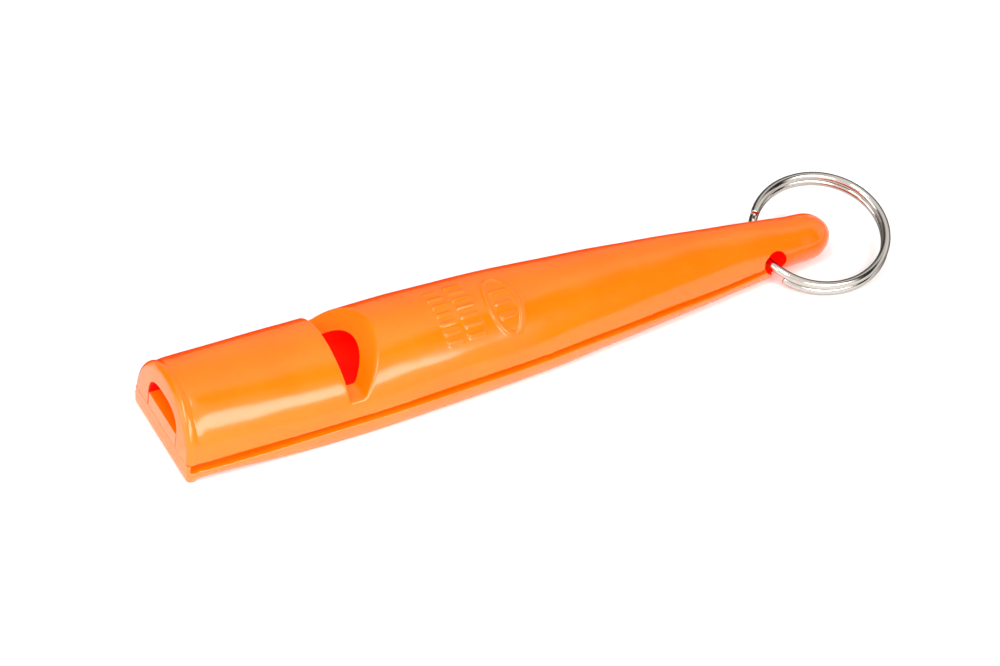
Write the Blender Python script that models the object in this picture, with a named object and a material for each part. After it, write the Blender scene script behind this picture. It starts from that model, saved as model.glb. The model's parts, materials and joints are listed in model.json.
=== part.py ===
"""Training whistle: upper moulding, base moulding and split ring.

Built in millimetres and scaled to metres on output. X runs from the mouth (-40) to the tail tip (+40),
Y across the whistle, Z up from the flat underside it rests on. Stations are given as distances from the mouth.
"""

import math

import bmesh
import bpy
from mathutils import Matrix, Vector

MM = 0.001
LENGTH = 79.7
MID = LENGTH / 2  # the row's origin is halfway along the underside
GAP = 0.3  # between the two mouldings

# outer surface along the whistle: distance from the mouth, half width at the seam, height of the top
BODY_STATIONS = (
    (0, 7.26, 8.58),
    (10, 7.59, 8.39),
    (20, 7.70, 8.15),
    (30, 7.36, 8.41),
    (40, 6.82, 8.25),
    (50, 5.77, 7.86),
    (60, 4.48, 7.31),
    (68, 3.41, 6.47),
    (75, 2.74, 5.42),
    (LENGTH, 2.45, 4.85),
)
SEAM_STATIONS = ((0, 2.22), (20, 2.55), (45, 2.63), (57, 2.43), (65, 2.22), (69, 2.3), (73, 2.7), (LENGTH, 2.8))
TAIL_DOME = 2.7  # length of the rounded tail end

# mouth end
FACE_LEAN = 0.106  # the mouth face leans back as it rises
LEAN_FADES_BY = 10.0
LIP_STEPS = ((0, -0.45), (0.08, -0.25), (0.25, -0.08), (0.5, 0.02), (0.75, 0.04), (1.0, 0), (1.35, -0.08), (2.0, 0))

# windway, window and sounding chamber
WINDWAY_HALF = 4.0
WINDWAY_TOP_MOUTH = 6.25
WINDWAY_TOP_EXIT = 6.6
WINDOW_X = 18.65  # rear end of the mouthpiece roof
WINDOW_FLOOR = 4.35
RAMP_X = 20.4  # foot of the ramp that rises behind the window
RAMP_ANGLE = math.radians(48)
RAMP_SAG = 0.22
CHAMBER_HALF = 4.4
CHAMBER_ARCH_R = 5.54
CHAMBER_ARCH_Z = 0.98
CHAMBER_END = 34.0
CORE_START, CORE_END = 36.5, 63.0  # hollow behind the chamber, closed by the base
CORE_WALL = 2.0

# base moulding
BASE_LEDGE = ((0, 0.25), (12, 0.45), (62, 0.27), (70.5, 0.08))  # how far the base stands out beyond the upper moulding
GROOVE_HEIGHT = ((0, 0.85), (4, 0.85), (16, 0.55), (70, 0.5))
GROOVE_DEPTH = 0.8
GROOVE_STARTS = 0.35
BASE_END = 71.2
UNDERSIDE = ((0, 0), (0.9, 0), (1.7, 0.42), (5, 0.42), (10, 0.2), (16, 0), (BASE_END, 0))
FLAT_SHARE = ((0, 0.94), (20, 0.92), (45, 0.84), (70, 0.5))  # flat part of the underside's half width
BLOCK_HALF = 3.7
BLOCK_FLOOR_MOUTH, BLOCK_FLOOR_EXIT = 3.82, 4.1
BLOCK_ARCH_EXIT = 1.65
BLOCK_END = 18.3
PAD_START, PAD_END, PAD_RISE = 19.0, 33.7, 0.35

# cross bore in the tail and the ring through it
BORE_X, BORE_Z = 71.65, 2.75
BORE_R = 1.36
BORE_MOUTH_ROUND = 0.12  # rounding of both mouths
BORE_CLEAR = 0.05  # the base is cut this much wider than the bore
RING_R = 7.45  # radius of the wire's centre line
WIRE_R = 0.47
TURN_GAP = 0.06
RING_CENTRE = (78.35, -0.65, 3.147)
RING_TILT_ACROSS = math.radians(16.5)  # the ring leans against the bore and the table
RING_TILT_ALONG = math.radians(-3.5)
RING_START = math.radians(176)  # middle of the crossing, which sits inside the bore
CROSSING = math.radians(35)  # from there to each end of the wire

ORANGE = (1.0, 0.14, 0.004, 1.0)
NICKEL = (0.82, 0.82, 0.83, 1.0)


def along(stations, x, column=1):
    """Smooth value of a station list at x, with no overshoot between stations."""
    xs = [s[0] for s in stations]
    ys = [s[column] for s in stations]
    if x <= xs[0]:
        return ys[0]
    if x >= xs[-1]:
        return ys[-1]
    slopes = [(ys[i + 1] - ys[i]) / (xs[i + 1] - xs[i]) for i in range(len(xs) - 1)]

    def tangent(i):
        if i == 0:
            return slopes[0]
        if i == len(xs) - 1:
            return slopes[-1]
        a, b = slopes[i - 1], slopes[i]
        return 0.0 if a * b <= 0 else 2 * a * b / (a + b)

    i = max(k for k in range(len(xs) - 1) if xs[k] <= x)
    h = xs[i + 1] - xs[i]
    t = (x - xs[i]) / h
    return (
        (2 * t**3 - 3 * t**2 + 1) * ys[i]
        + (t**3 - 2 * t**2 + t) * h * tangent(i)
        + (3 * t**2 - 2 * t**3) * ys[i + 1]
        + (t**3 - t**2) * h * tangent(i + 1)
    )


def line(stations, x):
    """Straight-line value of a station list at x."""
    for (x0, y0), (x1, y1) in zip(stations, stations[1:]):
        if x <= x1:
            return y0 + (y1 - y0) * max(0.0, (x - x0) / (x1 - x0))
    return stations[-1][1]


def spread(start, end, count):
    return [start + (end - start) * i / (count - 1) for i in range(count)]


def place(x, y, z):
    """A point at distance x from the mouth, in the row's frame, with the mouth face's lean."""
    lean = FACE_LEAN * z * max(0.0, 1 - max(x, 0.0) / LEAN_FADES_BY)
    return Vector(((x + lean - MID) * MM, y * MM, z * MM))


def material(name, colour, metallic, roughness):
    mat = bpy.data.materials.new(name)
    mat.use_nodes = True
    shader = mat.node_tree.nodes["Principled BSDF"]
    shader.inputs["Base Color"].default_value = colour
    shader.inputs["Metallic"].default_value = metallic
    shader.inputs["Roughness"].default_value = roughness
    return mat


def finish_mesh(bm, name, mat=None):
    bmesh.ops.remove_doubles(bm, verts=bm.verts, dist=1e-7)
    bmesh.ops.recalc_face_normals(bm, faces=bm.faces)
    mesh = bpy.data.meshes.new(name)
    bm.to_mesh(mesh)
    bm.free()
    obj = bpy.data.objects.new(name, mesh)
    bpy.context.scene.collection.objects.link(obj)
    if mat:
        mesh.materials.append(mat)
    mesh.shade_smooth()
    return obj


def loft(name, sections, mat=None):
    """A closed solid through a list of loops of equal length."""
    bm = bmesh.new()
    loops = [[bm.verts.new(p) for p in section] for section in sections]
    count = len(loops[0])
    for a, b in zip(loops, loops[1:]):
        for i in range(count):
            j = (i + 1) % count
            bm.faces.new((a[i], a[j], b[j], b[i]))
    bm.faces.new(loops[0])
    bm.faces.new(loops[-1])
    return finish_mesh(bm, name, mat)


def boolean(target, cutter, operation):
    """Apply an exact boolean and delete the cutter."""
    mod = target.modifiers.new(cutter.name, "BOOLEAN")
    mod.operation = operation
    mod.solver = "EXACT"
    mod.object = cutter
    bpy.context.view_layer.update()
    graph = bpy.context.evaluated_depsgraph_get()
    mesh = bpy.data.meshes.new_from_object(target.evaluated_get(graph))
    target.modifiers.clear()
    old, target.data = target.data, mesh
    bpy.data.meshes.remove(old)
    bpy.data.objects.remove(cutter, do_unlink=True)
    mesh.shade_smooth()


def body_size(x):
    """Half width at the seam and height of the top at x, rounded off at the tail end and stepped at the lip."""
    half, top, seam = along(BODY_STATIONS, x), along(BODY_STATIONS, x, 2), along(SEAM_STATIONS, x)
    left = LENGTH - x
    if left < TAIL_DOME:
        shrink = math.sqrt(max(0.0, 1 - (1 - left / TAIL_DOME) ** 2))
        half, top = half * shrink, seam + (top - seam) * shrink
    lip = line(LIP_STEPS, x)
    return half + lip, top + lip, seam


def shell_section(x, low):
    """Half ellipse above the seam, and a lower half of height low below it."""
    half, top, seam = body_size(x)
    points = []
    for i in range(48):
        t = math.radians(i * 7.5)
        rise = (top - seam) if math.sin(t) > 0 else low
        points.append(place(x, half * math.cos(t), seam + rise * math.sin(t)))
    return points


def tail_low(x):
    """Depth of the tail below the seam."""
    half, top, seam = body_size(x)
    full_top = along(BODY_STATIONS, x, 2)
    return seam * (top - seam) / (full_top - seam)


def prism(name, outline, half_width):
    """A solid from an outline in X and Z, extruded across the whistle."""
    sides = (-half_width, half_width)
    return loft(name, [[place(x, y, z) for x, z in outline] for y in sides])


def windway_section(x):
    """Channel for the fipple block below, arched ceiling above."""
    share = min(1.0, max(0.0, x / WINDOW_X))
    top = WINDWAY_TOP_MOUTH + (WINDWAY_TOP_EXIT - WINDWAY_TOP_MOUTH) * share
    spring = 3.9 + 0.9 * share
    points = [place(x, WINDWAY_HALF, 0.5), place(x, WINDWAY_HALF, spring)]
    for i in range(1, 16):
        t = math.pi * i / 16
        rise = (top - spring) * math.sin(t) ** 0.85
        points.append(place(x, WINDWAY_HALF * math.cos(t), spring + rise))
    return points + [place(x, -WINDWAY_HALF, spring), place(x, -WINDWAY_HALF, 0.5)]


def chamber_section(x):
    edge = math.asin(CHAMBER_HALF / CHAMBER_ARCH_R)
    points = [place(x, CHAMBER_HALF, 0.5)]
    for i in range(17):
        t = edge - 2 * edge * i / 16
        points.append(place(x, CHAMBER_ARCH_R * math.sin(t), CHAMBER_ARCH_Z + CHAMBER_ARCH_R * math.cos(t)))
    return points + [place(x, -CHAMBER_HALF, 0.5)]


def core_section(x):
    half, top, _ = body_size(x)
    half, top = half - CORE_WALL, top - CORE_WALL
    points = [place(x, half, 0.5)]
    for i in range(17):
        t = math.pi * i / 16
        points.append(place(x, half * math.cos(t), 3.0 + (top - 3.0) * math.sin(t)))
    return points + [place(x, -half, 0.5)]


def window_outline():
    """Side view of the notch: roof end, short floor, then a slightly hollow ramp up past the top."""
    rise = 9.6 - WINDOW_FLOOR
    run = rise / math.tan(RAMP_ANGLE)
    points = [(WINDOW_X, 9.6), (WINDOW_X, WINDOW_FLOOR)]
    for i in range(11):
        t = i / 10
        sag = RAMP_SAG * math.sin(math.pi * t) * (1 - 0.3 * t)
        x = RAMP_X + run * t + sag * math.sin(RAMP_ANGLE)
        points.append((x, WINDOW_FLOOR + rise * t - sag * math.cos(RAMP_ANGLE) * (1 if i else 0)))
    return points


def bore_cutter(clear=0.0):
    """The cross bore with rounded mouths, wider by clear."""
    half, _, _ = body_size(BORE_X)
    flare = [(half + 0.6, BORE_R + BORE_MOUTH_ROUND)]
    for i in range(5):
        t = math.pi / 2 * i / 4
        flare.append((half - BORE_MOUTH_ROUND * math.sin(t), BORE_R + BORE_MOUTH_ROUND * (1 - math.sin(t))))
    steps = [(-y, r) for y, r in flare] + flare[::-1]
    turn = [2 * math.pi * i / 40 for i in range(40)]
    sections = [
        [place(BORE_X + (r + clear) * math.cos(t), y, BORE_Z + (r + clear) * math.sin(t)) for t in turn]
        for y, r in steps
    ]
    return loft("bore_cutter", sections)


def body_shell(mat):
    step = BASE_END + GAP
    xs = [s[0] for s in LIP_STEPS] + spread(2.6, WINDOW_X - 0.05, 12) + spread(WINDOW_X, 24.5, 6)
    xs += spread(26, step, 26)
    sections = [shell_section(x, 0.0) for x in xs]
    dome = [LENGTH - TAIL_DOME * (1 - math.sin(math.pi / 2 * i / 10)) for i in range(11)]
    dome[-1] = LENGTH - 0.003
    tail = [step] + spread(step + 1, LENGTH - TAIL_DOME - 0.8, 6) + dome
    sections += [shell_section(x, tail_low(x)) for x in tail]
    shell = loft("body_shell", sections, mat)
    windway = [windway_section(x) for x in [-1.0] + spread(0.0, 18.8, 9)]
    boolean(shell, loft("windway_cutter", windway), "DIFFERENCE")
    chamber = [chamber_section(x) for x in (18.4, 26.0, CHAMBER_END)]
    boolean(shell, loft("chamber_cutter", chamber), "DIFFERENCE")
    core = [core_section(x) for x in spread(CORE_START, CORE_END, 8)]
    boolean(shell, loft("core_cutter", core), "DIFFERENCE")
    boolean(shell, prism("window_cutter", window_outline(), 9.5), "DIFFERENCE")
    boolean(shell, bore_cutter(), "DIFFERENCE")
    return shell


def base_section(x):
    """Flat-bottomed plate with rounded flanks, and the narrower neck that leaves the groove under the seam."""
    half, _, seam = body_size(x)
    wide = half + line(BASE_LEDGE, x)
    shelf = seam - line(GROOVE_HEIGHT, x)
    under = line(UNDERSIDE, x)
    flat = wide * line(FLAT_SHARE, x)
    neck = half - GROOVE_DEPTH if x > GROOVE_STARTS else wide - 0.06
    right = []
    for i in range(9):
        t = math.pi / 2 * i / 8
        right.append((flat + (wide - flat) * math.sin(t), shelf - 0.06 - (shelf - 0.06 - under) * math.cos(t)))
    right += [(wide - 0.06, shelf), (neck, shelf), (neck, seam - GAP - 0.04), (neck - 0.04, seam - GAP)]
    left = [(-y, z) for y, z in reversed(right)]
    return [place(x, y, z) for y, z in right + left]


def block_section(x, low):
    """Fipple block: flat at the mouth, arched where it meets the window."""
    share = min(1.0, x / BLOCK_END)
    ease = share * share * (3 - 2 * share)
    floor = BLOCK_FLOOR_MOUTH + (BLOCK_FLOOR_EXIT - BLOCK_FLOOR_MOUTH) * ease
    points = [place(x, BLOCK_HALF, low)]
    for i in range(13):
        y = BLOCK_HALF * (1 - i / 6)
        points.append(place(x, y, floor + BLOCK_ARCH_EXIT * ease * (1 - (y / BLOCK_HALF) ** 2)))
    return points + [place(x, -BLOCK_HALF, low)]


def base_plate(mat):
    xs = [0, 0.08, 0.25, 0.34, 0.37, 0.5, 0.75, 1.0, 1.3, 1.7, 2.4, 3.6] + spread(5, 20, 11) + spread(22, BASE_END, 28)
    base = loft("base_plate", [base_section(x) for x in xs], mat)
    block = loft("fipple_block", [block_section(x, 0.9) for x in spread(0.06, BLOCK_END, 12)])
    boolean(base, block, "UNION")
    top = along(SEAM_STATIONS, 26) + PAD_RISE
    outline = [(PAD_START, 1.2), (PAD_END, 1.2), (PAD_END, top), (PAD_START, top)]
    boolean(base, prism("chamber_pad", outline, CHAMBER_HALF - GAP), "UNION")
    boolean(base, bore_cutter(BORE_CLEAR), "DIFFERENCE")
    return base


def split_ring(mat):
    """Two stacked turns of round wire, swept along one path that steps from the lower turn to the upper."""
    tilt = Matrix.Rotation(RING_TILT_ALONG, 4, "Y") @ Matrix.Rotation(RING_TILT_ACROSS, 4, "X")
    offset = WIRE_R + TURN_GAP / 2
    sweep = 4 * math.pi - 2 * CROSSING
    count = 216
    sections = []
    for i in range(count + 1):
        phi = CROSSING + sweep * i / count
        step = min(1.0, max(0.0, (phi - 2 * math.pi + CROSSING) / (2 * CROSSING)))
        level = offset * (2 * step * step * (3 - 2 * step) - 1)
        out = Vector((math.cos(RING_START + phi), math.sin(RING_START + phi), 0))
        up = Vector((0, 0, 1))
        wire = []
        for k in range(14):
            a = 2 * math.pi * k / 14
            local = out * (RING_R + WIRE_R * math.cos(a)) + up * (level + WIRE_R * math.sin(a))
            spot = tilt @ local + Vector(RING_CENTRE)
            wire.append(Vector(((spot.x - MID) * MM, spot.y * MM, spot.z * MM)))
        sections.append(wire)
    ring = loft("split_ring", sections, mat)
    pivot = Vector(((BORE_X - MID) * MM, 0, BORE_Z * MM))
    ring.data.transform(Matrix.Translation(-pivot))
    ring.location = pivot
    return ring


def main():
    for obj in list(bpy.data.objects):
        bpy.data.objects.remove(obj, do_unlink=True)
    body_shell(material("orange_gloss_plastic", ORANGE, 0.0, 0.25))
    base_plate(material("orange_base_plastic", ORANGE, 0.0, 0.28))
    split_ring(material("nickel_plated_wire", NICKEL, 1.0, 0.15))


main()
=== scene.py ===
"""Looks of the training whistle: glossy orange mouldings and a bright split ring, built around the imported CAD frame.

Shapes are worked out in millimetres from the mouth end of the whistle and placed in the frame in metres.
"""

import json
import math

import bmesh
import bpy
from mathutils import Matrix, Vector, noise


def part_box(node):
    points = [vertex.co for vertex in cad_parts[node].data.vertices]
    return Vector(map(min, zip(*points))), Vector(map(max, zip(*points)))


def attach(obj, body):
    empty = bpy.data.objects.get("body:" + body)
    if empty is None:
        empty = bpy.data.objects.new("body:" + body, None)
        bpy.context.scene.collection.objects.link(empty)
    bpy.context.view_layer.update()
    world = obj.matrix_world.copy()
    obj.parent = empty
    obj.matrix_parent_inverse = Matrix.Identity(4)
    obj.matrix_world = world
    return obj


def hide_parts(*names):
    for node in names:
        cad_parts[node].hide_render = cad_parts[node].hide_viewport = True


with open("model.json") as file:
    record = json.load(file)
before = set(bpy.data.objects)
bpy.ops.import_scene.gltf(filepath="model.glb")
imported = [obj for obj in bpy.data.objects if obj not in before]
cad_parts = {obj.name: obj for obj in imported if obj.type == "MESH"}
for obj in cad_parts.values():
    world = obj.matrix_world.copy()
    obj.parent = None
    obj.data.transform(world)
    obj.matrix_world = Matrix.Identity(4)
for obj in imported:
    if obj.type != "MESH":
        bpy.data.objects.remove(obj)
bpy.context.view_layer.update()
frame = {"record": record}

MM = 0.001
base_low, base_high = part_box("base_plate")
shell_low, shell_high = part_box("body_shell")
ring_low, ring_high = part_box("split_ring")
MOUTH = base_low[0] / MM
LENGTH = shell_high[0] / MM - MOUTH
BASE_END = base_high[0] / MM - MOUTH
PIVOT = [v / MM for v in frame["record"]["behaviour"]["joints"][0]["pos_m"]]

# outer surface along the whistle: distance from the mouth, half width at the seam, height of the top
BODY_STATIONS = (
    (0, 7.26, 8.58),
    (10, 7.59, 8.39),
    (20, 7.70, 8.15),
    (30, 7.36, 8.41),
    (40, 6.82, 8.25),
    (50, 5.77, 7.86),
    (60, 4.48, 7.31),
    (68, 3.41, 6.47),
    (75, 2.74, 5.42),
    (LENGTH, 2.45, 4.85),
)
SEAM_STATIONS = ((0, 2.22), (20, 2.55), (45, 2.63), (57, 2.43), (65, 2.22), (69, 2.3), (73, 2.7), (LENGTH, 2.8))
TAIL_DOME = 2.7
FACE_LEAN = 0.106
LEAN_FADES_BY = 10.0
# rounded lip bead and the soft groove behind it: distance from the mouth, how far it stands out
LIP_STEPS = (
    (0, -0.5),
    (0.03, -0.37),
    (0.1, -0.23),
    (0.22, -0.11),
    (0.4, -0.01),
    (0.62, 0.037),
    (0.85, 0.03),
    (1.08, -0.04),
    (1.3, -0.09),
    (1.6, -0.05),
    (2.1, 0),
)
SEAM_ROUND = 0.06  # rounding of the upper moulding's lower edge
SINK = 0.095  # depth of the shallow sink marks on the glossy surface
FLASH = 0.09  # how far the ragged moulding flash hangs below the seam

# windway, window and chamber
SLOT_HALF = 3.7
SLOT_FLOOR = 3.82
SLOT_POWER = 2.56
WINDWAY_TOP_MOUTH, WINDWAY_TOP_EXIT = 6.25, 6.6
WINDOW_X = 18.65
WINDOW_FLOOR = 4.38
ROOF_EDGE_ROUND = 0.18
FLOOR_FILLET = 0.15
RAMP_X = 20.35
RAMP_ANGLE = math.radians(48)
RAMP_BLEND = 0.3
RIM_ROUND = 0.45
CHAMBER_HALF = 4.4
CHAMBER_ARCH_R = 5.54
CHAMBER_ARCH_Z = 0.98
CHAMBER_END = 34.0
CORE_START, CORE_END, CORE_WALL = 36.5, 63.0, 2.0

# base moulding
BASE_LEDGE = ((0, 0.25), (12, 0.45), (62, 0.27), (70.5, 0.08))
GROOVE_HEIGHT = ((0, 0.85), (4, 0.85), (16, 0.55), (70, 0.5))
GROOVE_DEPTH = 0.95
GROOVE_STARTS = 0.3
JOIN_GAP = 0.05
BLOCK_GAP = 0.02
UNDERSIDE = ((0, 0), (0.9, 0), (1.25, 0.14), (1.7, 0.36), (2.4, 0.42), (5, 0.42), (10, 0.2), (16, 0), (80, 0))
FLAT_SHARE = ((0, 0.94), (20, 0.92), (45, 0.84), (70, 0.5))
BLOCK_FLOOR_EXIT = 4.1
BLOCK_ARCH_EXIT = 1.65
BLOCK_END = 18.3
PAD_START, PAD_END, PAD_RISE = 19.0, 33.7, 0.35

# cross bore and ring
BORE_X, BORE_Z = PIVOT[0] - MOUTH, PIVOT[2]
BORE_R = 1.36
BORE_MOUTH_ROUND = 0.12
RING_R = 7.443
WIRE_R = 0.469
TURN_GAP = 0.06
RING_CENTRE = (78.35 + MOUTH, -0.65, 3.147)
RING_TILT_ACROSS = math.radians(16.5)
RING_TILT_ALONG = math.radians(-3.5)
RING_START = math.radians(176)
CROSSING = math.radians(35)

# raised mark on the barrel: an oval and two rows of plain bars, in place of any lettering
MARK_HEIGHT = 0.17
MARK_SOFT = 0.22
MARK_LINE = 0.2  # half line width
MARK_RADIUS = 6.6  # of the barrel's top, where the mark sits
MARK_OVAL = (38.4, -2.5, 1.7, 3.7)  # centre along, centre across, two half axes
MARK_OVAL_BARS = (-1.6, 0.0, 1.6)  # across, from the oval's centre
MARK_ROWS = ((34.3, -1.7, 0.85, 7), (31.7, -1.9, 0.7, 7))  # centre along and across, half bar length, bars
MARK_PITCH = 1.1
MARK_ZONE = (30.4, 40.8)

UPPER, LOWER, CORNER = 236, 40, 5  # points along a section's outer arc, its underside and each lower corner


def along(stations, x, column=1):
    """Smooth value of a station list at x, with no overshoot between stations."""
    xs = [s[0] for s in stations]
    ys = [s[column] for s in stations]
    if x <= xs[0]:
        return ys[0]
    if x >= xs[-1]:
        return ys[-1]
    slopes = [(ys[i + 1] - ys[i]) / (xs[i + 1] - xs[i]) for i in range(len(xs) - 1)]

    def tangent(i):
        if i == 0:
            return slopes[0]
        if i == len(xs) - 1:
            return slopes[-1]
        a, b = slopes[i - 1], slopes[i]
        return 0.0 if a * b <= 0 else 2 * a * b / (a + b)

    i = max(k for k in range(len(xs) - 1) if xs[k] <= x)
    h = xs[i + 1] - xs[i]
    t = (x - xs[i]) / h
    return (
        (2 * t**3 - 3 * t**2 + 1) * ys[i]
        + (t**3 - 2 * t**2 + t) * h * tangent(i)
        + (3 * t**2 - 2 * t**3) * ys[i + 1]
        + (t**3 - t**2) * h * tangent(i + 1)
    )


def line(stations, x):
    """Straight-line value of a station list at x."""
    for (x0, y0), (x1, y1) in zip(stations, stations[1:]):
        if x <= x1:
            return y0 + (y1 - y0) * max(0.0, (x - x0) / (x1 - x0))
    return stations[-1][1]


def spread(start, end, count):
    return [start + (end - start) * i / (count - 1) for i in range(count)]


def ease(t):
    t = min(1.0, max(0.0, t))
    return t * t * (3 - 2 * t)


def soft_min(a, b, k):
    h = max(k - abs(a - b), 0.0) / k
    return min(a, b) - h * h * k / 4


def soft_max(a, b, k):
    return -soft_min(-a, -b, k)


def place(x, y, z):
    """A point at distance x from the mouth, in the frame, with the mouth face's lean."""
    lean = FACE_LEAN * z * max(0.0, 1 - max(x, 0.0) / LEAN_FADES_BY)
    return Vector(((x + lean + MOUTH) * MM, y * MM, z * MM))


def finish_mesh(bm, name, mat=None, sharp=34):
    bmesh.ops.remove_doubles(bm, verts=bm.verts, dist=2e-7)
    bmesh.ops.recalc_face_normals(bm, faces=bm.faces)
    mesh = bpy.data.meshes.new(name)
    bm.to_mesh(mesh)
    bm.free()
    obj = bpy.data.objects.new(name, mesh)
    bpy.context.scene.collection.objects.link(obj)
    if mat:
        mesh.materials.append(mat)
    shade(mesh, sharp)
    return obj


def shade(mesh, sharp=34):
    mesh.shade_smooth()
    mesh.set_sharp_from_angle(angle=math.radians(sharp))


def loft(name, sections, mat=None, sharp=34):
    """A closed solid through a list of loops of equal length."""
    bm = bmesh.new()
    loops = [[bm.verts.new(p) for p in section] for section in sections]
    count = len(loops[0])
    for a, b in zip(loops, loops[1:]):
        for i in range(count):
            j = (i + 1) % count
            bm.faces.new((a[i], a[j], b[j], b[i]))
    bm.faces.new(loops[0])
    bm.faces.new(loops[-1])
    return finish_mesh(bm, name, mat, sharp)


def boolean(target, cutter, operation="DIFFERENCE"):
    """Apply an exact boolean, keep the cutter's material on the faces it makes, and delete the cutter."""
    mod = target.modifiers.new(cutter.name, "BOOLEAN")
    mod.operation = operation
    mod.solver = "EXACT"
    mod.material_mode = "TRANSFER"
    mod.object = cutter
    bpy.context.view_layer.update()
    graph = bpy.context.evaluated_depsgraph_get()
    mesh = bpy.data.meshes.new_from_object(target.evaluated_get(graph))
    target.modifiers.clear()
    old, target.data = target.data, mesh
    bpy.data.meshes.remove(old)
    bpy.data.objects.remove(cutter, do_unlink=True)
    shade(mesh)


def body_size(x):
    """Half width at the seam, height of the top and seam height at x."""
    half, top, seam = along(BODY_STATIONS, x), along(BODY_STATIONS, x, 2), along(SEAM_STATIONS, x)
    left = LENGTH - x
    if left < TAIL_DOME:
        shrink = math.sqrt(max(0.0, 1 - (1 - left / TAIL_DOME) ** 2))
        half, top = half * shrink, seam + (top - seam) * shrink
    lip = along(LIP_STEPS, x)
    return half + lip, top + lip, seam


def tail_low(x):
    """Depth of the round tail below the seam."""
    _, top, seam = body_size(x)
    return seam * (top - seam) / (along(BODY_STATIONS, x, 2) - seam)


def ramp_height(x):
    return WINDOW_FLOOR + (x - RAMP_X) * math.tan(RAMP_ANGLE)


def notch_height(x):
    """Height that the window notch leaves at x: a filleted floor, then the ramp."""
    height = soft_max(WINDOW_FLOOR, ramp_height(x), RAMP_BLEND)
    near = x - WINDOW_X
    if near < FLOOR_FILLET:
        height += FLOOR_FILLET - math.sqrt(max(0.0, FLOOR_FILLET**2 - (FLOOR_FILLET - near) ** 2))
    return height


def bar_distance(x, across, centre_x, centre_across, half_length):
    """Distance from a point to a bar that runs along the whistle."""
    beyond = max(0.0, abs(x - centre_x) - half_length)
    return math.hypot(beyond, across - centre_across) - MARK_LINE


def mark_relief(x, across):
    """How far the raised mark stands out at a point of the barrel."""
    centre_x, centre_across, a, b = MARK_OVAL
    dx, dy = (x - centre_x) / a, (across - centre_across) / b
    radius = math.hypot(dx, dy)
    slope = math.hypot(dx / a, dy / b) / max(radius, 1e-6)
    far = abs(radius - 1) / max(slope, 1e-6) - MARK_LINE
    for offset in MARK_OVAL_BARS:
        far = min(far, bar_distance(x, across, centre_x, centre_across + offset, 0.45 * a))
    for row_x, row_across, half_length, bars in MARK_ROWS:
        for i in range(bars):
            offset = (i - (bars - 1) / 2) * MARK_PITCH
            far = min(far, bar_distance(x, across, row_x, row_across + offset, half_length))
    return MARK_HEIGHT * (1 - ease(far / MARK_SOFT + 0.5))


def sink_marks(x, turn):
    """Shallow dents left by uneven shrinkage of the plastic, up to SINK deep."""
    return SINK * 0.5 * (noise.noise(Vector((x * 0.16, turn * 1.7, 4.0))) * 1.6 - 1)


def flash(x):
    """Ragged edge along the seam: here and there a sliver of flash hangs down."""
    ragged = noise.noise(Vector((x * 1.1, 0.0, 9.0))) * 1.5 + noise.noise(Vector((x * 3.7, 0.0, 2.0))) * 0.5
    return FLASH * ease((ragged - 0.25) / 0.4) * ease(x - 4) * ease(BASE_END - x)


def arc_angles(start, rim):
    """Angles from one lower edge over the top to the other, with extra ones close to the notch's rim."""
    near, quarter = 0.03, math.pi / 2
    rim = min(max(rim, start + 3 * near), quarter - 2 * near)
    side, close = UPPER // 4, 12
    half = spread(start, rim - near, side)[:-1] + spread(rim - near, rim + near, close)[:-1]
    half += spread(rim + near, quarter, UPPER // 2 + 1 - len(half))
    return half + [math.pi - t for t in reversed(half[:-1])]


def shell_section(x, low=0.0, cut=None, rounding=0.0, rim=0.8):
    """Half ellipse above the seam with rounded lower corners, or a full round for the tail."""
    half, top, seam = body_size(x)
    corner = SEAM_ROUND if low == 0.0 else 0.02
    bottom = seam - (flash(x) if low == 0.0 else 0.0)
    start = math.asin(min(0.5, corner / (top - seam)))
    marked = MARK_ZONE[0] < x < MARK_ZONE[1]
    points = []
    for t in arc_angles(start, rim):
        relief = sink_marks(x, t) * ease((x - 1.5) / 2) * ease((LENGTH - 3 - x) / 2)
        if marked:
            relief += mark_relief(x, (math.pi / 2 - t) * MARK_RADIUS)
        if rounding:
            relief -= rounding * ease((seam + (top - seam) * math.sin(t) - WINDOW_FLOOR) / 0.3)
        y = (half + relief) * math.cos(t)
        z = seam + (top - seam + relief) * math.sin(t)
        if cut is not None:
            z = soft_min(z, cut, RIM_ROUND)
        points.append((y, z))
    edge = half * math.cos(start)
    if low == 0.0:
        right = []
        for i in range(1, CORNER + 1):
            t = math.pi / 2 * i / (CORNER + 1)
            right.append((edge - corner * (1 - math.cos(t)), seam + corner - (seam + corner - bottom) * math.sin(t)))
        flat = [(y, bottom if abs(y) > edge - 2 * corner else seam) for y in spread(edge - corner, corner - edge, LOWER)]
        lower = right + flat + [(-y, z) for y, z in reversed(right)]
        points += [(-y, z) for y, z in lower]
    else:
        turns = spread(math.pi, 2 * math.pi, LOWER + 2 * CORNER + 2)[1:-1]
        points += [(half * math.cos(t), seam + low * math.sin(t)) for t in turns]
    return [place(x, y, z) for y, z in points]


def rim_angle(x, height):
    """Angle on the section's arc at which it reaches a height."""
    _, top, seam = body_size(x)
    return math.asin(min(1.0, (height - seam) / (top - seam)))


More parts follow.
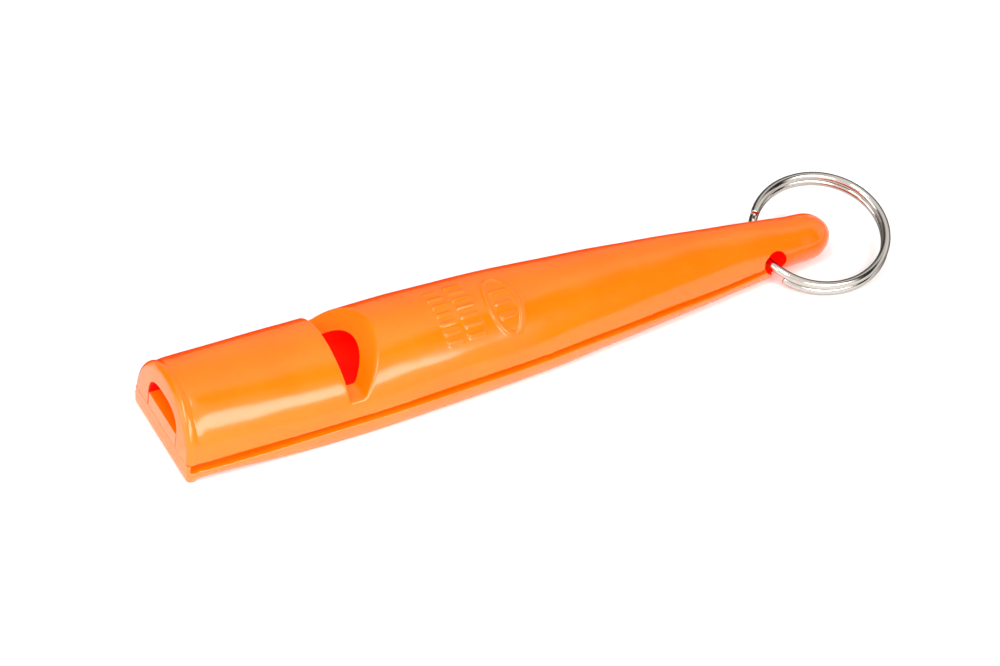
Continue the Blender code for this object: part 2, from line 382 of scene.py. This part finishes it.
def notch_sections():
    """Sections from the roof's rear edge down into the notch and up the ramp to the barrel's top."""
    floor_rim = rim_angle(WINDOW_X, WINDOW_FLOOR)
    sections = []
    for i in range(1, 6):
        t = math.pi / 2 * i / 5
        x = WINDOW_X - ROOF_EDGE_ROUND * (1 - math.sin(t))
        sections.append(shell_section(x, rounding=ROOF_EDGE_ROUND * (1 - math.cos(t)), rim=floor_rim))
    xs = [WINDOW_X + FLOOR_FILLET * (1 - math.cos(math.pi / 2 * i / 6)) for i in range(7)]
    xs += spread(WINDOW_X + FLOOR_FILLET + 0.1, RAMP_X - 0.4, 12) + spread(RAMP_X - 0.3, RAMP_X + 0.3, 13)
    for t in spread(rim_angle(RAMP_X + 0.3, ramp_height(RAMP_X + 0.3)), math.pi / 2, 58)[1:]:
        _, top, seam = body_size(xs[-1])
        xs.append(RAMP_X + (seam + (top - seam) * math.sin(t) - WINDOW_FLOOR) / math.tan(RAMP_ANGLE))
    xs += [xs[-1] + step for step in (0.04, 0.09, 0.15, 0.22, 0.3)]
    for x in xs:
        height = notch_height(x)
        sections.append(shell_section(x, cut=height, rim=rim_angle(x, height)))
    return sections, xs[-1]


def upper_moulding(mat, inner_painted_shade):
    step = BASE_END + JOIN_GAP
    floor_rim = rim_angle(WINDOW_X, WINDOW_FLOOR)
    xs = [0, 0.012, 0.03, 0.06, 0.1, 0.16] + spread(0.22, 2.0, 18)
    xs += spread(2.3, WINDOW_X - ROOF_EDGE_ROUND, 50)
    sections = [shell_section(x, rim=floor_rim) for x in xs]
    notch, crest = notch_sections()
    sections += notch
    xs = spread(crest + 0.1, MARK_ZONE[0], 22) + spread(MARK_ZONE[0] + 0.08, MARK_ZONE[1], 130)
    xs += spread(MARK_ZONE[1] + 0.3, step, 96)
    for x in xs:
        share = ease((x - crest) / 5)
        sections.append(shell_section(x, rim=(math.pi / 2) * (1 - share) + floor_rim * share))
    dome = [LENGTH - TAIL_DOME * (1 - math.sin(math.pi / 2 * i / 22)) for i in range(23)]
    dome[-1] = LENGTH - 0.0008
    for x in spread(step, LENGTH - TAIL_DOME - 0.2, 24) + dome:
        sections.append(shell_section(x, low=tail_low(x), rim=floor_rim))
    shell = loft("upper_moulding", sections, mat)
    windway = [windway_section(x) for x in [-1.0, -0.04, 0.0, 0.04, 0.1, 0.2] + spread(0.9, 18.9, 25)]
    boolean(shell, loft("windway_cutter", windway, inner_painted_shade))
    boolean(shell, loft("chamber_cutter", [chamber_section(x) for x in (18.5, 26.0, CHAMBER_END)], inner_painted_shade))
    core = [core_section(x) for x in spread(CORE_START, CORE_END, 12)]
    boolean(shell, loft("core_cutter", core, inner_painted_shade))
    boolean(shell, bore_cutter(inner_painted_shade))
    return shell


def windway_section(x):
    """Channel for the fipple block below, arched ceiling above, with the slot's rounded lip at the mouth."""
    share = min(1.0, max(0.0, x / WINDOW_X))
    flare = 0.14 * (1 - ease((x + 0.02) / 0.22)) if x > -0.5 else 0.14
    top = WINDWAY_TOP_MOUTH + (WINDWAY_TOP_EXIT - WINDWAY_TOP_MOUTH) * share + flare
    spring = SLOT_FLOOR + 0.7 * share
    half = SLOT_HALF + 0.25 * share + flare
    power = SLOT_POWER - 0.4 * share
    points = [place(x, half, 0.5), place(x, half, spring)]
    for i in range(1, 40):
        t = math.pi * i / 40
        y = math.copysign(abs(math.cos(t)) ** (2 / power), math.cos(t)) * half
        points.append(place(x, y, spring + (top - spring) * math.sin(t) ** (2 / power)))
    return points + [place(x, -half, spring), place(x, -half, 0.5)]


def chamber_section(x):
    edge = math.asin(CHAMBER_HALF / CHAMBER_ARCH_R)
    points = [place(x, CHAMBER_HALF, 0.5)]
    for i in range(41):
        t = edge - 2 * edge * i / 40
        points.append(place(x, CHAMBER_ARCH_R * math.sin(t), CHAMBER_ARCH_Z + CHAMBER_ARCH_R * math.cos(t)))
    return points + [place(x, -CHAMBER_HALF, 0.5)]


def core_section(x):
    half, top, _ = body_size(x)
    half, top = half - CORE_WALL, top - CORE_WALL
    points = [place(x, half, 0.5)]
    for i in range(25):
        t = math.pi * i / 24
        points.append(place(x, half * math.cos(t), 3.0 + (top - 3.0) * math.sin(t)))
    return points + [place(x, -half, 0.5)]


def bore_cutter(inner_painted_shade):
    """The cross bore with rounded mouths."""
    half, _, _ = body_size(BORE_X)
    flare = [(half + 0.6, BORE_R + BORE_MOUTH_ROUND)]
    for i in range(9):
        t = math.pi / 2 * i / 8
        flare.append((half - BORE_MOUTH_ROUND * math.sin(t), BORE_R + BORE_MOUTH_ROUND * (1 - math.sin(t))))
    steps = [(-y, r) for y, r in flare] + flare[::-1]
    turn = [2 * math.pi * i / 96 for i in range(96)]
    sections = [
        [place(BORE_X + r * math.cos(t), y, BORE_Z + r * math.sin(t)) for t in turn] for y, r in steps
    ]
    return loft("bore_cutter", sections, inner_painted_shade)


def base_section(x):
    """Flat-bottomed plate with rounded flanks, and the narrower neck that leaves the groove under the seam."""
    half, _, seam = body_size(x)
    wide = half + line(BASE_LEDGE, x)
    shelf = seam - line(GROOVE_HEIGHT, x)
    lifted = min(0.0, along(LIP_STEPS, x)) if x < 0.3 else 0.0
    under = along(UNDERSIDE, x) - lifted
    flat = wide * line(FLAT_SHARE, x)
    close = 1 - ease((x - GROOVE_STARTS) / 0.14)
    neck = half - GROOVE_DEPTH + (wide - half + GROOVE_DEPTH - 0.05) * close
    join = seam - JOIN_GAP
    shoulder = 0.09
    right = []
    for i in range(17):
        t = math.pi / 2 * i / 16
        rise = (shelf - shoulder - under) * math.cos(t)
        right.append((flat + (wide - flat) * math.sin(t), shelf - shoulder - rise))
    for i in range(1, 5):
        t = math.pi / 2 * i / 4
        right.append((wide - shoulder * (1 - math.cos(t)), shelf - shoulder * (1 - math.sin(t))))
    inner = min(neck, wide - shoulder - 0.01)
    right += [(inner + 0.05, shelf), (inner, shelf + 0.05), (inner, join - 0.05), (inner - 0.05, join)]
    left = [(-y, z) for y, z in reversed(right)]
    return [place(x, y, z) for y, z in right + left]


def block_section(x, low):
    """Fipple block: flat at the mouth, arched where it meets the window."""
    share = ease(x / BLOCK_END)
    half = SLOT_HALF - BLOCK_GAP
    floor = SLOT_FLOOR + (BLOCK_FLOOR_EXIT - SLOT_FLOOR) * share
    points = [place(x, half, low)]
    for i in range(33):
        y = half * (1 - i / 16)
        points.append(place(x, y, floor + BLOCK_ARCH_EXIT * share * (1 - (y / half) ** 2)))
    return points + [place(x, -half, low)]


def base_moulding(mat, inner_painted_shade):
    xs = [0, 0.012, 0.03, 0.06, 0.1, 0.16] + spread(0.22, 1.9, 34) + spread(2.2, 20, 40) + spread(20.8, BASE_END, 70)
    base = loft("base_moulding", [base_section(x) for x in xs], mat)
    block = [block_section(x, 0.9) for x in spread(0.02, BLOCK_END, 32)]
    boolean(base, loft("fipple_block", block, mat), "UNION")
    top = along(SEAM_STATIONS, 26) + PAD_RISE
    outline = [(PAD_START, 1.2), (PAD_END, 1.2), (PAD_END, top), (PAD_START, top)]
    half = CHAMBER_HALF - JOIN_GAP
    pad = loft("chamber_pad", [[place(x, y, z) for x, z in outline] for y in (-half, half)], inner_painted_shade)
    boolean(base, pad, "UNION")
    boolean(base, bore_cutter(inner_painted_shade))
    return base


def wire_ring(mat):
    """Two stacked turns of round wire, swept along one path that steps from the lower turn to the upper."""
    tilt = Matrix.Rotation(RING_TILT_ALONG, 4, "Y") @ Matrix.Rotation(RING_TILT_ACROSS, 4, "X")
    offset = WIRE_R + TURN_GAP / 2
    sweep = 4 * math.pi - 2 * CROSSING
    count, sides = 560, 28
    chamfer = 0.08
    ends = [0, chamfer / RING_R / sweep]
    shares = ends + spread(0.003, 0.997, count) + [1 - s for s in reversed(ends)]
    sections = []
    for index, share in enumerate(shares):
        phi = CROSSING + sweep * share
        step = ease((phi - 2 * math.pi + CROSSING) / (2 * CROSSING))
        level = offset * (2 * step - 1)
        thick = WIRE_R - (chamfer if index in (0, len(shares) - 1) else 0)
        out = Vector((math.cos(RING_START + phi), math.sin(RING_START + phi), 0))
        wire = []
        for k in range(sides):
            a = 2 * math.pi * k / sides
            local = out * (RING_R + thick * math.cos(a)) + Vector((0, 0, level + thick * math.sin(a)))
            wire.append((tilt @ local + Vector(RING_CENTRE)) * MM)
        sections.append(wire)
    return loft("wire_ring", sections, mat, sharp=50)


def shader(name, base, metallic, roughness):
    mat = bpy.data.materials.new(name)
    mat.use_nodes = True
    tree = mat.node_tree
    bsdf = tree.nodes["Principled BSDF"]
    bsdf.inputs["Base Color"].default_value = base
    bsdf.inputs["Metallic"].default_value = metallic
    bsdf.inputs["Roughness"].default_value = roughness
    return mat, tree, bsdf


def noise_node(tree, scale, detail, rough=0.5):
    node = tree.nodes.new("ShaderNodeTexNoise")
    node.inputs["Scale"].default_value = scale
    node.inputs["Detail"].default_value = detail
    node.inputs["Roughness"].default_value = rough
    coords = tree.nodes.new("ShaderNodeTexCoord")
    tree.links.new(coords.outputs["Object"], node.inputs["Vector"])
    return node


def spread_node(tree, source, low, high):
    """A Map Range from a noise's middle range to low..high."""
    node = tree.nodes.new("ShaderNodeMapRange")
    node.inputs["From Min"].default_value = 0.3
    node.inputs["From Max"].default_value = 0.7
    node.inputs["To Min"].default_value = low
    node.inputs["To Max"].default_value = high
    tree.links.new(source, node.inputs["Value"])
    return node.outputs["Result"]


def fine_bump(tree, source, bsdf, strength, depth_mm):
    bump = tree.nodes.new("ShaderNodeBump")
    bump.inputs["Strength"].default_value = strength
    bump.inputs["Distance"].default_value = depth_mm * MM
    tree.links.new(source, bump.inputs["Height"])
    tree.links.new(bump.outputs["Normal"], bsdf.inputs["Normal"])


def deeper_to_tail_painted_shade(tree, colour):
    """Painted shade: the colour is multiplied deeper along the barrel towards the tail, as light falling off there; it
    also stands for the deeper colour of the thicker solid tail.
    """
    place_node = tree.nodes.new("ShaderNodeSeparateXYZ")
    coords = tree.nodes.new("ShaderNodeTexCoord")
    tree.links.new(coords.outputs["Object"], place_node.inputs["Vector"])
    mix = tree.nodes.new("ShaderNodeMix")
    mix.data_type = "RGBA"
    mix.blend_type = "MULTIPLY"
    mix.inputs["B"].default_value = (1.0, 0.8, 0.8, 1)
    tree.links.new(colour, mix.inputs["A"])
    tree.links.new(fade(tree, place_node.outputs["X"], -0.02, 0.03, 0.0, 1.0), mix.inputs["Factor"])
    return mix.outputs["Result"]


def plastic(name, deep, bright, gloss, glow, sheen=0.5):
    """Fluorescent moulded plastic: faint flow marks, slight gloss variation, a painted glow in place of its
    fluorescence, and painted shade on the far side's grazing edge, redder and with dulled reflection.
    """
    mat, tree, bsdf = shader(name, bright, 0.0, 0.26)
    flow = noise_node(tree, 120, 2)
    ramp = tree.nodes.new("ShaderNodeValToRGB")
    ramp.color_ramp.elements[0].position = 0.35
    ramp.color_ramp.elements[0].color = deep
    ramp.color_ramp.elements[1].position = 0.65
    ramp.color_ramp.elements[1].color = bright
    tree.links.new(flow.outputs["Fac"], ramp.inputs["Fac"])
    grain = noise_node(tree, 900, 4, 0.6)
    tree.links.new(spread_node(tree, grain.outputs["Fac"], *gloss), bsdf.inputs["Roughness"])
    peel = noise_node(tree, 700, 2, 0.5)
    fine_bump(tree, peel.outputs["Fac"], bsdf, 0.05, 0.02)
    # Painted light: the emission gives the plastic a glow of its own, lifting its shade as its fluorescence would.
    bsdf.inputs["Emission Color"].default_value = deep
    bsdf.inputs["Emission Strength"].default_value = glow
    bsdf.inputs["IOR"].default_value = 1.5
    # Painted shade: on the far side, where the surface turns from view, the reflection is dulled and the colour
    # reddened in place of the dark room it would mirror.
    turned_away = tree.nodes.new("ShaderNodeLayerWeight")
    turned_away.inputs["Blend"].default_value = 0.5
    geometry = tree.nodes.new("ShaderNodeNewGeometry")
    normal = tree.nodes.new("ShaderNodeSeparateXYZ")
    tree.links.new(geometry.outputs["Normal"], normal.inputs["Vector"])
    far_side = fade(tree, normal.outputs["Y"], 0.0, 0.3, 0.0, 1.0)
    edge = math_node(tree, "MULTIPLY", fade(tree, turned_away.outputs["Facing"], 0.44, 0.72, 0.0, 1.0), far_side)
    tree.links.new(math_node(tree, "MULTIPLY_ADD", edge, -sheen, sheen), bsdf.inputs["Specular IOR Level"])
    tint = tree.nodes.new("ShaderNodeMix")
    tint.data_type = "RGBA"
    tint.inputs["B"].default_value = PAINTED_EDGE_RED
    painted_red_edge = fade(tree, turned_away.outputs["Facing"], 0.54, 0.9, 0.0, 0.9)
    tree.links.new(math_node(tree, "MULTIPLY", painted_red_edge, far_side), tint.inputs["Factor"])
    tree.links.new(deeper_to_tail_painted_shade(tree, ramp.outputs["Color"]), tint.inputs["A"])
    tree.links.new(tint.outputs["Result"], bsdf.inputs["Base Color"])
    bsdf.inputs["Subsurface Weight"].default_value = 0.2
    bsdf.inputs["Subsurface Radius"].default_value = (1.0, 0.25, 0.05)
    bsdf.inputs["Subsurface Scale"].default_value = 0.001
    return mat


# The darker wire colour is painted shade, taken where the wire turns from view, in place of reflecting a dark room.
WIRE_LIGHT, WIRE_PAINTED_DARK = (0.56, 0.53, 0.49, 1), (0.13, 0.123, 0.115, 1)


def nickel():
    """Bright plated wire with fine drawing lines and faint handling marks, and painted shade darkening it where it
    turns from view.
    """
    mat, tree, bsdf = shader("bright_nickel_wire", WIRE_LIGHT, 1.0, 0.1)
    bsdf.inputs["Specular Tint"].default_value = (0.4, 0.39, 0.37, 1)  # keeps the wire's rims grey
    turned_away = tree.nodes.new("ShaderNodeLayerWeight")
    turned_away.inputs["Blend"].default_value = 0.5
    geometry = tree.nodes.new("ShaderNodeNewGeometry")
    normal = tree.nodes.new("ShaderNodeSeparateXYZ")
    tree.links.new(geometry.outputs["Normal"], normal.inputs["Vector"])
    # Painted dark reflection: the colour darkens where the wire turns from view, except where it faces down.
    shadowed = math_node(
        tree,
        "MULTIPLY",
        fade(tree, turned_away.outputs["Facing"], 0.26, 0.5, 0.0, 1.0),
        fade(tree, normal.outputs["Z"], -0.1, 0.2, 0.0, 1.0),
    )
    tone = tree.nodes.new("ShaderNodeMix")
    tone.data_type = "RGBA"
    tone.inputs["A"].default_value = WIRE_LIGHT
    tone.inputs["B"].default_value = WIRE_PAINTED_DARK
    tree.links.new(shadowed, tone.inputs["Factor"])
    tree.links.new(tone.outputs["Result"], bsdf.inputs["Base Color"])
    marks = noise_node(tree, 1500, 5, 0.65)
    tree.links.new(spread_node(tree, marks.outputs["Fac"], 0.05, 0.16), bsdf.inputs["Roughness"])
    fine_bump(tree, marks.outputs["Fac"], bsdf, 0.1, 0.02)
    return mat


def stage_floor():
    mesh = bpy.data.meshes.new("floor")
    size = 1.5
    mesh.from_pydata([(-size, -size, 0), (size, -size, 0), (size, size, 0), (-size, size, 0)], [], [(0, 1, 2, 3)])
    floor = bpy.data.objects.new("floor", mesh)
    bpy.context.scene.collection.objects.link(floor)
    mat, _, bsdf = shader("pale_table", (0.88, 0.88, 0.88, 1), 0.0, 0.7)
    bsdf.inputs["Specular IOR Level"].default_value = 0.2
    mesh.materials.append(mat)


def direction(azimuth, elevation):
    """Unit vector towards an azimuth from +X and an elevation, in degrees."""
    a, e = math.radians(azimuth), math.radians(elevation)
    return Vector((math.cos(a) * math.cos(e), math.sin(a) * math.cos(e), math.sin(e)))


def soft_light(name, towards, distance, width, height, radiance, roll=0.0):
    """A rectangular softbox facing the whistle from a direction, as bright per area as radiance says."""
    data = bpy.data.lights.new(name, "AREA")
    data.shape = "RECTANGLE"
    data.size, data.size_y = width, height
    data.energy = radiance * math.pi * width * height
    light = bpy.data.objects.new(name, data)
    bpy.context.scene.collection.objects.link(light)
    light.location = towards * distance
    turn = towards.to_track_quat("Z", "Y").to_matrix() @ Matrix.Rotation(math.radians(roll), 3, "Z")
    light.rotation_euler = turn.to_euler()


def math_node(tree, operation, *values):
    """A Math node fed by sockets or plain numbers."""
    node = tree.nodes.new("ShaderNodeMath")
    node.operation = operation
    for socket, value in zip(node.inputs, values):
        if isinstance(value, (int, float)):
            socket.default_value = value
        else:
            tree.links.new(value, socket)
    return node.outputs["Value"]


def facing(tree, coords, towards):
    """Cosine of the angle between the looked-at direction and a given one."""
    dot = tree.nodes.new("ShaderNodeVectorMath")
    dot.operation = "DOT_PRODUCT"
    dot.inputs[1].default_value = towards
    tree.links.new(coords.outputs["Generated"], dot.inputs[0])
    return dot.outputs["Value"]


def fade(tree, value, start, end, low, high):
    """Soft step from low at start to high at end."""
    node = tree.nodes.new("ShaderNodeMapRange")
    node.interpolation_type = "SMOOTHSTEP"
    node.inputs["From Min"].default_value = start
    node.inputs["From Max"].default_value = end
    node.inputs["To Min"].default_value = low
    node.inputs["To Max"].default_value = high
    tree.links.new(value, node.inputs["Value"])
    return node.outputs["Result"]


def sky_patch(tree, coords, centre, inner, outer, low, high):
    """A factor that is low within inner degrees of a direction and high beyond outer degrees."""
    cosines = [math.cos(math.radians(a)) for a in (outer, inner)]
    return fade(tree, facing(tree, coords, centre), *cosines, high, low)


def curtain(tree, coords):
    """A factor that is nearly zero along a dark strip hanging from the zenith down to the right of the camera."""
    across = math_node(tree, "ABSOLUTE", facing(tree, coords, CURTAIN_AXIS))
    strip = fade(tree, across, 0.1, 0.26, 0.97, 0.0)
    reach = sky_patch(tree, coords, direction(-42, 38), 36, 48, 1.0, 0.0)
    return math_node(tree, "SUBTRACT", 1.0, math_node(tree, "MULTIPLY", strip, reach))


CURTAIN_AXIS = direction(-144.9, 15.7)  # square to the dark strip's plane
BACK_LEVEL, FRONT_LEVEL = 0.5, 1.15
PAINTED_EDGE_RED = (1.0, 0.03, 0.012, 1)  # painted shade: the red that the far side's grazing edge is painted, in place of the dark room it would reflect


def studio():
    """Room that is dark behind, a dark curtain on the right, one long softbox in front and one by the mouth."""
    world = bpy.data.worlds.new("studio")
    bpy.context.scene.world = world
    world.use_nodes = True
    tree = world.node_tree
    background = tree.nodes["Background"]
    background.inputs["Color"].default_value = (1, 0.98, 0.96, 1)
    coords = tree.nodes.new("ShaderNodeTexCoord")
    room = sky_patch(tree, coords, direction(75, 10), 25, 75, BACK_LEVEL, FRONT_LEVEL)
    corner = sky_patch(tree, coords, direction(128, 32), 18, 42, 0.15, 1.0)
    level = math_node(tree, "MULTIPLY", math_node(tree, "MULTIPLY", room, corner), curtain(tree, coords))
    tree.links.new(level, background.inputs["Strength"])
    soft_light("front_softbox", direction(-92, 38), 0.5, 0.44, 0.19, 8.0, roll=25)
    soft_light("mouth_softbox", direction(-150, 62), 0.4, 0.08, 0.3, 9.0)
    soft_light("mouth_fill", direction(175, 20), 0.5, 0.3, 0.3, 2.2)
    bpy.context.scene.view_settings.view_transform = "Standard"


CAMERA_AZIMUTH = math.radians(-26.89)
CAMERA_ELEVATION = math.radians(39.455)
CAMERA_ROLL = math.radians(-1.694)
CAMERA_DISTANCE = 417.56  # to the plane through the aim point
CAMERA_AIM = (40 + MOUTH, 0.0, 4.0)
AIM_OFFSET = (0.5738, 2.1321)  # where the aim point lies from the frame's middle, right and up, in mm there
CAMERA_LENS = 140.09


def camera():
    a, e, r = CAMERA_AZIMUTH, CAMERA_ELEVATION, CAMERA_ROLL
    back = Vector((math.sin(a) * math.cos(e), -math.cos(a) * math.cos(e), math.sin(e)))
    flat = Vector((math.cos(a), math.sin(a), 0))
    rise = back.cross(flat)
    right = flat * math.cos(r) - rise * math.sin(r)
    up = flat * math.sin(r) + rise * math.cos(r)
    spot = Vector(CAMERA_AIM) + back * CAMERA_DISTANCE - right * AIM_OFFSET[0] - up * AIM_OFFSET[1]
    data = bpy.data.cameras.new("camera")
    data.sensor_width = 36
    data.lens = CAMERA_LENS
    data.clip_start = 0.01
    cam = bpy.data.objects.new("camera", data)
    bpy.context.scene.collection.objects.link(cam)
    matrix = Matrix((right, up, back)).transposed().to_4x4()
    matrix.translation = spot * MM
    cam.matrix_world = matrix
    bpy.context.scene.camera = cam


def main():
    camera()
    studio()
    stage_floor()
    deep, bright = (1.0, 0.137, 0.0, 1), (1.0, 0.155, 0.002, 1)
    orange = plastic("orange_gloss_plastic", deep, bright, (0.14, 0.2), 0.12)
    base_orange = plastic("orange_base_plastic", deep, bright, (0.16, 0.22), 0.1, 0.85)
    # The inner faces are a shaded copy of the plastic: painted deep red shade, duller reflection and a stronger glow
    # as painted light coming through the walls.
    inner_painted_shade = plastic("orange_inside", (1.0, 0.0, 0.0, 1), (1.0, 0.008, 0.0, 1), (0.5, 0.65), 0.4, 0.1)
    for piece, body, node, slot in (
        (upper_moulding(orange, inner_painted_shade), "whistle", "body_shell", "orange_gloss_plastic"),
        (base_moulding(base_orange, inner_painted_shade), "whistle", "base_plate", "orange_base_plastic"),
        (wire_ring(nickel()), "ring", "split_ring", "nickel_plated_wire"),
    ):
        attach(piece, body)
        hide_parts(node)


main()
